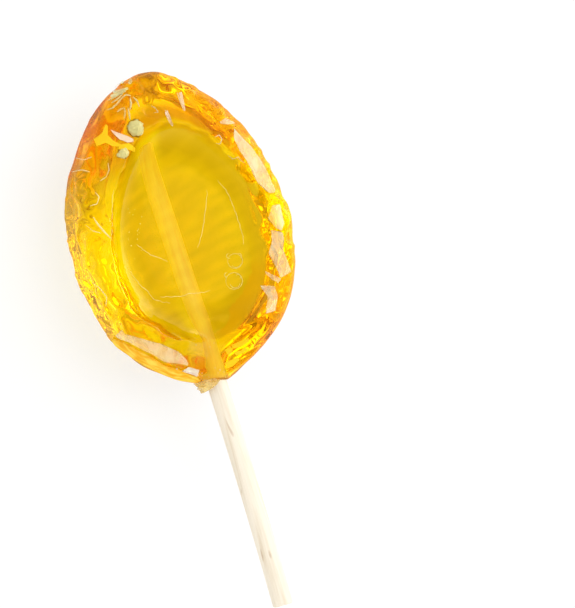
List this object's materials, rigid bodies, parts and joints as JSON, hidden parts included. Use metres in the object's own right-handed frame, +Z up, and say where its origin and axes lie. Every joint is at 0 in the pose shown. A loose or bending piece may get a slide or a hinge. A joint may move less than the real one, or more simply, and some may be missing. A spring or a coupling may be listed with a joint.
{
  "type": "honey candy spoon",
  "caption": "Clear amber hard candy in the shape of a spoon's bowl, cast round a thin wooden stick and wrapped in clinging clear film.",
  "frame": {"origin": "bottom centre of the whole as it lies on its back, on the surface it rests on", "axes": "+Z up out of the bowl of the spoon, +Y along the stick towards the candy's tip, +X to the right seen from above"},
  "size_m": [0.035, 0.0858, 0.0198],
  "materials": {
    "honey_candy": "glossy clear amber hard candy under crinkled clinging film",
    "birch": "plain sanded birch",
    "clear_film": "glossy colourless plastic film"
  },
  "bodies": {
    "root": {"candy": "honey_candy", "stick": "birch", "film_gather": "clear_film"}
  },
  "joints": []
}
